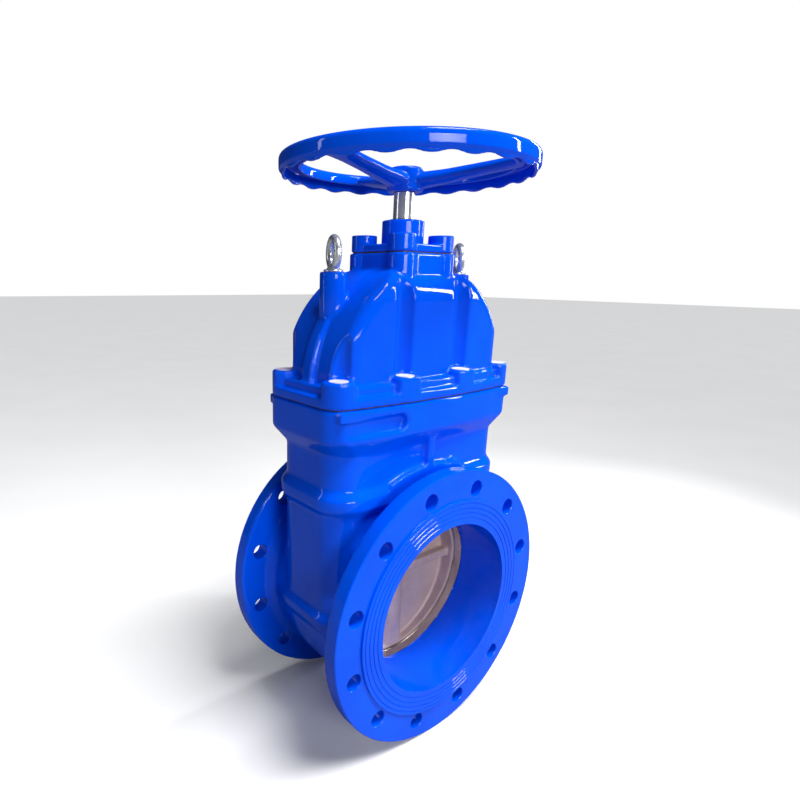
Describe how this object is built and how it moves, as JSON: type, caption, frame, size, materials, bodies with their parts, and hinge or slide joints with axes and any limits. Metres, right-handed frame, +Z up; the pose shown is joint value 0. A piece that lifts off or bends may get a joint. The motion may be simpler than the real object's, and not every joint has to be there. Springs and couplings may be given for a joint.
{
  "type": "gate valve",
  "caption": "Flanged wedge gate valve with a bolted bonnet; a handwheel turns a non-rising stem that lifts the wedge clear of a straight pipe bore.",
  "frame": {"origin": "on the stem axis, at the height of the flanges' lowest line, midway between the two flange faces", "axes": "+Z up along the stem, towards the handwheel; the pipe runs along Y, with the inlet flange facing -Y; X is across the pipe"},
  "size_m": [0.4039, 0.332, 0.8],
  "materials": {
    "blue_epoxy": "glossy blue epoxy on ductile iron",
    "seat_steel": "machined",
    "screw_steel": "plain",
    "stem_steel": "ground and polished",
    "zinc_plate": "bright zinc plating",
    "pale_wax": "poured wax",
    "black_rubber": "matt",
    "brass_alloy": "machined",
    "bush_plastic": "machined acetal",
    "cast_wedge": "grit-blasted casting"
  },
  "bodies": {
    "valve_body": {"body": "blue_epoxy", "inlet_seat_ring": "seat_steel", "outlet_seat_ring": "seat_steel", "bonnet_gasket": "black_rubber", "bonnet": "blue_epoxy", "bonnet_screws": "screw_steel", "bonnet_screw_plugs": "pale_wax", "gland_gasket": "black_rubber", "gland_housing": "blue_epoxy", "gland_screws": "screw_steel", "gland_screw_plugs": "pale_wax", "lower_thrust_washer": "brass_alloy", "upper_thrust_washer": "brass_alloy", "stem_bush": "bush_plastic", "inner_stem_rings": "black_rubber", "outer_bush_rings": "black_rubber", "wiper_ring": "black_rubber", "eyebolt_left": "zinc_plate", "eyebolt_right": "zinc_plate"},
    "wheel_and_stem": {"stem": "stem_steel", "handwheel": "blue_epoxy", "handwheel_washer": "zinc_plate", "handwheel_screw": "zinc_plate"},
    "gate": {"wedge": "cast_wedge", "wedge_nut": "brass_alloy", "inlet_wedge_ring": "seat_steel", "outlet_wedge_ring": "seat_steel"}
  },
  "joints": [
    {"name": "handwheel_turn", "type": "hinge", "parent": "valve_body", "child": "wheel_and_stem", "pos_m": [0, 0, 0.75], "axis": [0, 0, 1], "range_deg": [0, 15720]},
    {"name": "wedge_lift", "type": "slide", "parent": "valve_body", "child": "gate", "axis": [0, 0, 1], "range_m": [0, 0.2625]}
  ],
  "couplings": [
    {"joint": "wedge_lift", "follows": "handwheel_turn", "m_per_rad": 0.00095493}
  ]
}
